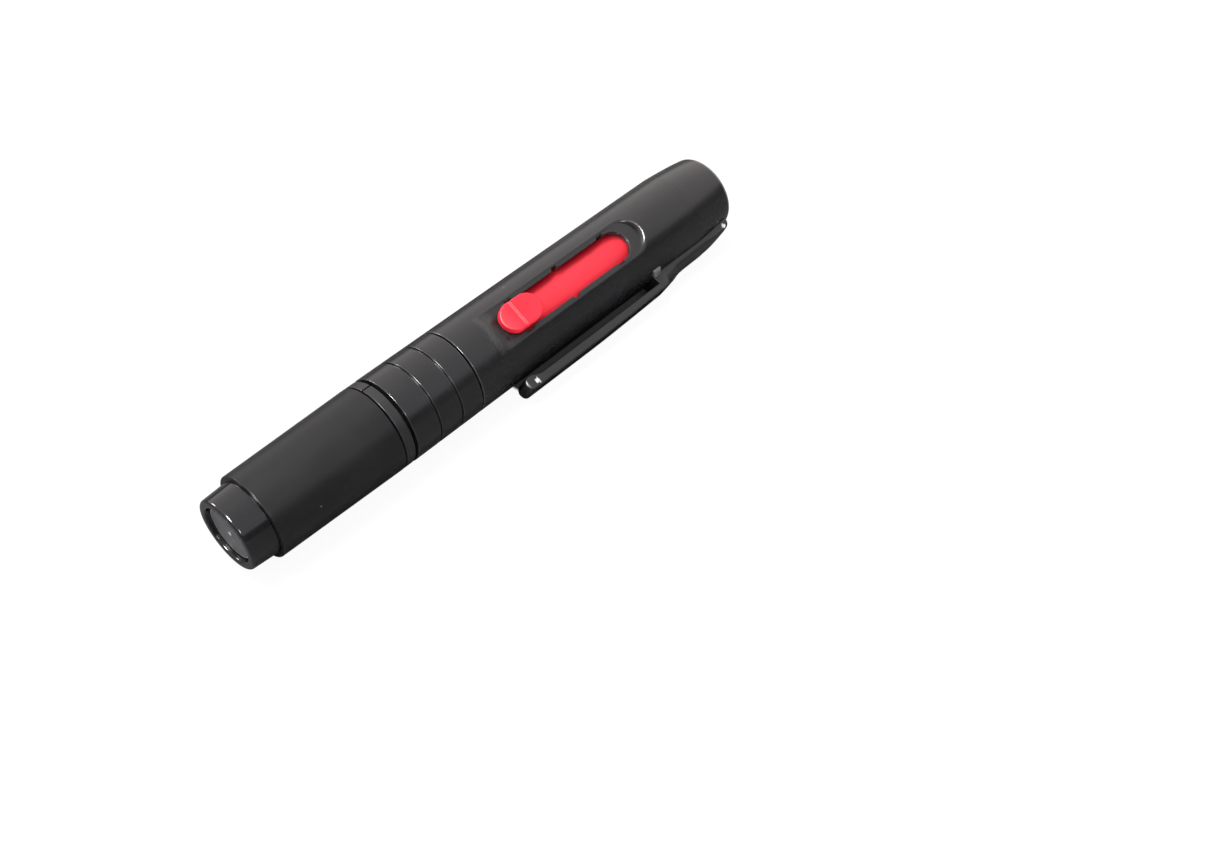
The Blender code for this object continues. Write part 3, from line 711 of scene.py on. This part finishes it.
def slide_button(material):
    """The thumb button: a foot in the slot, an upright side and a rounded rim round the shaped top."""
    base, rim = FLAT_HEIGHT + GAP, 0.24
    loops = []

    def ring(inset, height):
        half = button_rim(inset)
        whole = half + [(x, -y) for x, y in half[-2:0:-1]]
        loops.append([(x, y, height(x)) for x, y in whole])

    ring(0.5, lambda x: base - 0.9)
    ring(0.5, lambda x: base)
    ring(0.08, lambda x: base)
    ring(0.0, lambda x: base + 0.08)
    for turn in np.linspace(0, pi / 2, 6):
        inset, drop = rim * (1 - cos(turn)), rim * (1 - sin(turn))
        ring(inset, lambda x, d=drop: button_top(min(max(x, BUTTON_START), BUTTON_END)) - d)
    points, faces, wear_and_glint = strip(loops)
    top = button_rim(rim)
    shift, rows, across = len(points), len(top), 9
    for x, y in top:
        for j in range(across):
            points.append((x, y * (1 - 2 * j / (across - 1)), button_top(x)))
            # A painted highlight along the ridge's crest takes the full pale edge colour; a faint pale line
            # runs where the hollow ends.
            wear_and_glint.append(1.0 if -0.05 < x - RIDGE_AT < 0.03 else 0.2 if 0.5 < x - RIDGE_AT < 0.6 else 0.0)
    for i in range(rows - 1):
        for j in range(across - 1):
            a = shift + i * across + j
            faces.append((a, a + 1, a + across + 1, a + across))
    count = len(loops[0])
    faces.append(tuple(range(count)))
    obj = piece("slide_button_skin", (points, faces, wear_and_glint), material, 40.0)
    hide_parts("slide_button")
    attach(obj, "brush")


def brush_carrier(material):
    """The red sleeve that shows in the slot and carries the brush."""
    start, end = along("brush_carrier")
    inner = 4.6
    line = rounded([(start, inner), (start, CARRIER_R, 0.3), (end, CARRIER_R, 0.3), (end, inner)])
    obj = piece("brush_carrier_skin", lathe(line, 120), material)
    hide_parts("brush_carrier")
    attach(obj, "brush")


def brush_ferrule(material):
    """The metal band round the hair's root."""
    start, end = along("brush_ferrule")
    outer, wall = radius("brush_ferrule"), 0.45
    inner = outer - wall
    line = [(start, inner), (start, outer, 0.08)]
    for x in (end - 3.4, end - 2.2):  # crimped rings that hold the hair
        line += [(x - 0.35, outer, 0.2), (x, outer - 0.22, 0.2), (x + 0.35, outer, 0.2)]
    line += [(end, outer - 0.1, 0.12), (end, inner, 0.06)]
    obj = piece("brush_ferrule_skin", lathe(rounded(line), 120), material)
    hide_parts("brush_ferrule")
    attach(obj, "brush")


def brush_root_plug(material):
    """The resin that the hair is set in."""
    start, end = along("brush_root_plug")
    r = radius("brush_root_plug")
    line = rounded([(start, 0), (start, r, 0.3), (end, r, 0.1), (end, 0)])
    obj = piece("brush_root_plug_skin", lathe(line, 72), material)
    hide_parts("brush_root_plug")
    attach(obj, "brush")


# The tuft's outline, as (x, radius)
HAIR_LINE = ((84.3, 3.5), (89.6, 3.5), (93.0, 4.05), (99.0, 4.6), (103.0, 4.45), (105.4, 3.6), (106.5, 0.3))


def brush_bristles(material, hairs=1500, sides=3, joints_each=8):
    """A tuft of tapered hairs that opens out of the ferrule and rounds off at the tip."""
    rng = np.random.default_rng(7)
    start = along("brush_bristles")[0]
    xs, rs = np.array(HAIR_LINE).T
    points, faces = [], []
    for _ in range(hairs):
        share, angle = sqrt(rng.random()) * 0.985, rng.random() * 2 * pi
        # The outline closes over the hair there, and the hair ends a little short of it
        reach = np.interp(share * rs.max(), rs[:2:-1], xs[:2:-1]) - rng.random() * 0.9 * (0.3 + share)
        lean, bow = rng.normal(0, 0.06), rng.normal(0, 0.09)
        thick = 0.045 + 0.02 * rng.random()
        rings = []
        for t in np.linspace(0, 1, joints_each):
            x = start + (reach - start) * t
            if t < 0.8:
                spread = share * float(np.interp(x, xs, rs))
            else:  # the tip keeps the spread that the hair has reached
                spread *= 1 - 0.02 * (t - 0.8)
            a = angle + lean * t * t
            y, z = spread * sin(a) + bow * t * t, spread * cos(a) + bow * 0.6 * t * t
            width = thick * (1 - 0.75 * t**2)
            rings.append([(x, y + width * sin(2 * pi * k / sides), z + width * cos(2 * pi * k / sides))
                          for k in range(sides)])
        shift = len(points)
        points += [p for ring in rings for p in ring]
        for n in range(joints_each - 1):
            for k in range(sides):
                a, b = shift + n * sides + k, shift + n * sides + (k + 1) % sides
                faces.append((a, b, b + sides, a + sides))
        faces += [tuple(range(shift, shift + sides)), tuple(range(len(points) - sides, len(points)))]
    obj = piece("brush_hair_tuft", (points, faces, [0.0] * len(points)), material)
    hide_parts("brush_bristles")
    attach(obj, "brush")


# Cleaning tip


def turned(name, node_name, outline, material, body, steps=96):
    """A turned piece that replaces one node."""
    obj = piece(name, lathe(rounded(outline), steps), material)
    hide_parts(node_name)
    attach(obj, body)
    return obj


def cleaning_tip(stem_finish, rubber, disc_finish, pad_finish):
    """Rod, rubber neck, disc and dished pad, all inside the cap."""
    start, end = along("tip_stem")
    rod, flange = 2.5, 3.9
    back = along("spigot_core")[0] + SPIGOT_WALL + GAP
    line = [(start, 0), (start, rod, 0.35), (back, rod), (back, flange, 0.2), (back + 1.4, flange, 0.2),
            (back + 1.4, rod), (end, rod - 0.4, 0.3), (end, 0)]
    turned("tip_stem_skin", "tip_stem", line, stem_finish, "barrel")

    start, end = along("tip_neck")
    line = [(start, 0), (start, 1.7, 0.12)]
    for x in (start + 0.55, start + 1.1, start + 1.65):  # rings that let the rubber bend
        line += [(x - 0.14, 1.62, 0.08), (x, 1.38, 0.08), (x + 0.14, 1.62, 0.08)]
    line += [(end - 0.9, 2.0, 0.3), (end - 0.25, 1.7, 0.2), (end, 0)]
    turned("tip_neck_skin", "tip_neck", line, rubber, "neck")

    start, end = along("tip_head")
    pad_r = radius("tip_pad")
    line = [(start, 0), (start, pad_r, 0.08), (start + 0.3, pad_r + 0.15, 0.12), (start + 1.2, pad_r, 0.4),
            (start + 1.8, 3.4, 0.5), (start + 2.2, 2.1, 0.3), (end, 1.8, 0.15), (end, 0)]
    turned("tip_head_skin", "tip_head", line, disc_finish, "head")

    start, end = along("tip_pad")
    dish, rim = 0.45, 4.7
    face = [(start + dish * (1 - (r / rim) ** 2), r) for r in np.linspace(0, rim, 12)]
    line = face + [(start + 0.12, pad_r, 0.25), (end, pad_r, 0.15), (end, 0)]
    pad = turned("tip_pad_skin", "tip_pad", line, pad_finish, "head")


# Cap


def split_ring(material):
    """The band between cap and collar. It ends either side of a narrow slit."""
    inner = SPIGOT_R + GAP
    line = [(RING_START, inner), (RING_START, RING_R, 0.12), (RING_END, RING_R, 0.16), (RING_END, inner)]
    half = SLIT_WIDTH / 2 / RING_R
    shape = lathe(rounded(line), STEPS, SLIT_ANGLE + half, 2 * pi - 2 * half)
    obj = piece("split_ring_skin", shape, material)
    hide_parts("split_ring")
    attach(obj, "ring")


def cap(shell, gloss, disc_finish, cup_finish, powder):
    """The cap's tube, its end plug and disc, and the refill cup and pad inside it."""
    bore, low, high = 6.6, 7.58, radius("cap_shell")
    slope = (high - low) / (CAP_END - CAP_START)
    line = [(CAP_START, bore), (CAP_START, low, 0.12), (CAP_START + 3, low + slope * 3),
            (CAP_END, high, 0.14), (CAP_END, bore, 0.1)]
    turned("cap_shell_skin", "cap_shell", line, shell, "cap", STEPS)

    low, high, length = 6.42, 6.7, CAP_START - 0.03
    tail, end, cavity = bore - GAP, along("cap_end_plug")[1], 5.4
    recess, floor, back = 5.0, 1.7, 3.6
    line = [(0, recess, 0.3), (0, low, 0.45), (length, high, 0.1), (length, tail), (end, tail, 0.2),
            (end, cavity), (back, cavity), (back, 0), (floor, 0), (floor, recess)]
    turned("cap_end_plug_skin", "cap_end_plug", line, gloss, "cap", STEPS)

    start, end = along("cap_end_disc")
    r = radius("cap_end_disc")
    gate = [(start - 0.14, 0), (start - 0.14, 0.26, 0.08), (start, 0.40, 0.06), (start + 0.05, 0.6),
            (start, 0.78)]  # the small nub in the middle, in its ring
    line = gate + [(start, r, 0.15), (end, r), (end, 0)]
    turned("cap_end_disc_skin", "cap_end_disc", line, disc_finish, "cap", 120)

    start, end = along("refill_cup")
    outer = radius("refill_cup")
    line = [(start, 0), (start, outer, 0.2), (end, outer, 0.15), (end, outer - 0.8, 0.15),
            (start + 0.9, outer - 0.8, 0.2), (start + 0.9, 0)]
    turned("refill_cup_skin", "refill_cup", line, cup_finish, "cap")

    start, end = along("refill_pad")
    r = radius("refill_pad")
    dome = [(end - 0.55 * (y / r) ** 2, y) for y in np.linspace(r - 0.3, 0, 12)]
    line = [(start, 0), (start, r, 0.2), (end - 0.8, r, 0.25)] + dome
    pad = turned("refill_pad_skin", "refill_pad", line, powder, "cap")


# Studio


def floor():
    """A white tabletop: burnt out to the camera but for a painted shadow beneath the clip, dark to the
    pen's gloss.
    """
    bpy.ops.mesh.primitive_plane_add(size=4.0, location=(0, 0, cad_box[0].z - 0.00002))
    plane = bpy.context.active_object
    plane.name = "tabletop"
    material, tree, shader, where = blank("tabletop_paper")
    tone = ramp(tree, noise(tree, where, 0.05, detail=4.0), 0.3, 0.7, 0.0, 1.0)
    tree.links.new(mix(tree, tone, (0.90, 0.90, 0.90), (0.93, 0.93, 0.925)), shader.inputs["Base Color"])
    shader.inputs["Roughness"].default_value = 0.9
    shader.inputs["Specular IOR Level"].default_value = 0.1
    rays = node(tree, "ShaderNodeLightPath")
    # Places on the tabletop are in mm: x from the cap's end, and y across the table
    split = node(tree, "ShaderNodeSeparateXYZ", {"Vector": where})
    x, y = split.outputs["X"], split.outputs["Y"]
    shade = times(tree, ramp(tree, x, 52.0, 60.0), ramp(tree, x, 104.0, 96.0))
    shade = times(tree, shade, ramp(tree, y, -19.0, -12.0))  # the clip's shadow on the table
    tone = mix(tree, shade, (0.14, 0.14, 0.145), (0.05, 0.05, 0.055))
    dark = node(tree, "ShaderNodeBsdfDiffuse", {"Color": tone})
    unseen = node(tree, "ShaderNodeMixShader", {0: rays.outputs["Is Glossy Ray"], 1: shader.outputs[0],
                                                2: dark.outputs[0]})
    # A painted shadow: the strip of tabletop seen beneath the clip is drawn dark for the camera, darkest
    # beside the clip's root.
    under = times(tree, ramp(tree, x, 55.6, 56.6), ramp(tree, x, 94.0, 93.2))
    under = times(tree, under, ramp(tree, y, -5.7, -5.1))
    under = times(tree, under, ramp(tree, y, 1.5, 1.0))  # the narrow strip seen under the clip stays dark
    lit = times(tree, 1.0, under, "SUBTRACT")
    tone = mix(tree, lit, (0.01, 0.01, 0.01), (0.07, 0.07, 0.07))
    paper = node(tree, "ShaderNodeBsdfDiffuse", {"Color": tone})
    dim = ramp(tree, x, 87.0, 91.0, 0.020, 0.004)  # darkest beside the clip's root
    glow = node(tree, "ShaderNodeEmission", {"Strength": ramp(tree, lit, 0.0, 1.0, dim, 0.94)})
    seen = node(tree, "ShaderNodeAddShader", {0: paper.outputs[0], 1: glow.outputs[0]})
    both = node(tree, "ShaderNodeMixShader", {0: rays.outputs["Is Camera Ray"], 1: unseen.outputs[0],
                                              2: seen.outputs[0]})
    tree.links.new(both.outputs[0], tree.nodes["Material Output"].inputs["Surface"])
    plane.data.materials.append(material)


def sky():
    """One broad soft ceiling light, whose edge stands above the horizon all round.

    The camera sees plain white past the tabletop.
    """
    world = bpy.data.worlds.new("studio")
    world.use_nodes = True
    tree = world.node_tree
    where = node(tree, "ShaderNodeTexCoord").outputs["Generated"]
    split = node(tree, "ShaderNodeSeparateXYZ", {"Vector": where})
    lift = times(tree, split.outputs["Z"], times(tree, split.outputs["Y"], 0.097), "ADD")
    share = ramp(tree, lift, 0.195, 0.26)
    far = ramp(tree, split.outputs["Y"], -0.8, 0.8)
    tone = mix(tree, far, (0.95, 0.95, 1.0), (1.0, 0.945, 0.935))
    level = ramp(tree, far, 0.0, 1.0, 0.90, 1.22)
    level = times(tree, share, level)
    past = ramp(tree, split.outputs["X"], 0.50, 0.68)  # brighter and warmer past the brush's end
    tone = mix(tree, past, tone, (1.0, 0.93, 0.92))
    level = times(tree, level, ramp(tree, past, 0.0, 1.0, 1.0, 1.36))
    level = times(tree, level, 0.04, "ADD")
    seen = node(tree, "ShaderNodeLightPath").outputs["Is Camera Ray"]
    tone = mix(tree, seen, tone, (1.0, 1.0, 1.0))
    level = times(tree, level, seen, "MAXIMUM")
    back = tree.nodes["Background"]
    tree.links.new(tone, back.inputs["Color"])
    tree.links.new(level, back.inputs["Strength"])
    bpy.context.scene.world = world


def lamp(name, direction, size, power, glossy):
    """A round lamp 0.9 m away that shows either only as glints or only as soft light."""
    data = bpy.data.lights.new(name, "AREA")
    data.shape, data.size, data.energy = "DISK", size, power
    obj = bpy.data.objects.new(name, data)
    bpy.context.scene.collection.objects.link(obj)
    obj.location = Vector(direction).normalized() * 0.9
    obj.rotation_euler = (-Vector(direction)).to_track_quat("-Z", "Y").to_euler()
    obj.visible_camera = False
    obj.visible_glossy = glossy
    obj.visible_diffuse = not glossy


# Where the camera stands, in metres, where it looks, and how far it is turned about its view
CAMERA_AT, CAMERA_LOOK = (-0.11249, -0.14881, 0.15902), (0.4913, 0.5390, -0.6842)
CAMERA_TURN, CAMERA_LENS, CAMERA_SHIFT = radians(-7.16), 41.65, 0.0004


def camera():
    data = bpy.data.cameras.new("camera")
    data.sensor_width, data.lens = 36.0, CAMERA_LENS
    data.clip_start, data.shift_y = 0.01, CAMERA_SHIFT
    obj = bpy.data.objects.new("camera", data)
    bpy.context.scene.collection.objects.link(obj)
    obj.location = CAMERA_AT
    obj.rotation_mode = "QUATERNION"
    aim = Vector(CAMERA_LOOK).to_track_quat("-Z", "Y")
    obj.rotation_quaternion = aim @ Quaternion((0, 0, 1), CAMERA_TURN)
    bpy.context.scene.camera = obj


# The studio and every piece, each with its finish


camera()
sky()
floor()
lamp("high_glint", (-0.50, -0.14, 0.85), 0.30, 26.0, True)
lamp("far_glint", (-0.30, 0.77, 0.565), 0.26, 4.5, True)
lamp("near_glint", (-0.22, -0.80, 0.55), 0.16, 2.5, True)
lamp("overhead", (-0.05, 0.15, 1.0), 0.40, 7.0, False)
bpy.context.scene.view_settings.view_transform = "Standard"

body_finish = moulded("barrel_gloss", BLACK, 0.27, grain=0.03, wear_and_glint_amount=0.7, wear_and_glint_colour=(0.13, 0.13, 0.13),
                      dulled=(((54.2, -0.8, 7.4), 2.6),))
barrel_tube(body_finish)
front_collar(moulded("collar_gloss", BLACK, 0.24, grain=0.03, wear_and_glint_amount=0.3, wear_and_glint_colour=(0.09, 0.09, 0.09)))
spigot_core(moulded("spigot_matt", BLACK, 0.5, grain=0.3))
# Painted glints: two pale spots, on the arm's side near its free end and on the rail's end, stand in for
# highlights.
marks = (((57.0, -10.1, CLIP_HALF), 0.6), ((108.6, -8.0, CLIP_HALF), 0.6))
clip_finish = moulded("clip_satin", BLACK, 0.33, wear_and_glint_amount=0.8, wear_and_glint_colour=(0.10, 0.10, 0.10), painted_glints=marks)
clip(clip_finish)
# Painted light: the saddle is the clip's black plastic, drawn ten times lighter where its tab catches the
# light.
clip_saddle(moulded("saddle_painted_light", (0.10, 0.10, 0.103), 0.35, wear_and_glint_amount=1.0))

# The pale pink edge colour paints the highlight along the button's ridge.
red = moulded("button_red", RED, 0.45, scratched=0.2, dusty=0.02, wear_and_glint_amount=1.2, specular=0.4,
              wear_and_glint_colour=(1.0, 0.42, 0.48))
slide_button(red)
brush_carrier(moulded("carrier_red", RED, 0.45, scratched=0.3, dusty=0.03, wear_and_glint_amount=0.1))
brush_ferrule(spun_metal("ferrule_band", (0.42, 0.41, 0.40), 0.28))
brush_root_plug(resin("root_resin_amber", (0.30, 0.19, 0.08)))
brush_bristles(hair_finish("goat_hair", (0.035, 0.028, 0.022), (0.11, 0.085, 0.06)))

cleaning_tip(
    moulded("stem_matt", BLACK, 0.45),
    moulded("neck_rubber_soft", (0.022, 0.022, 0.022), 0.75, grain=0.5, specular=0.3),
    moulded("head_matt", BLACK, 0.42),
    foam("pad_suede", (0.045, 0.043, 0.042), 5.0, 0.05, (0.012, 0.012, 0.013)),
)
split_ring(moulded("ring_matt", (0.016, 0.016, 0.017), 0.38, specular=0.35))
cap(
    moulded("cap_satin", BLACK, 0.36, wear_and_glint_amount=0.3, specular=0.25),
    moulded("plug_gloss", BLACK, 0.13, grain=0.05, wear_and_glint_amount=0.2),
    # The disc's near-white edge colour paints glints on its rim and on the nub in its middle.
    moulded("disc_matt", (0.085, 0.085, 0.09), 0.5, grain=0.2, wear_and_glint_amount=1.6, specular=0.35,
            wear_and_glint_colour=(0.6, 0.6, 0.6)),
    moulded("cup_grey", (0.45, 0.45, 0.45), 0.5, wear_and_glint_amount=0.1),
    foam("carbon_foam", (0.030, 0.030, 0.032), 2.6, 0.12, (0.008, 0.008, 0.009)),
)
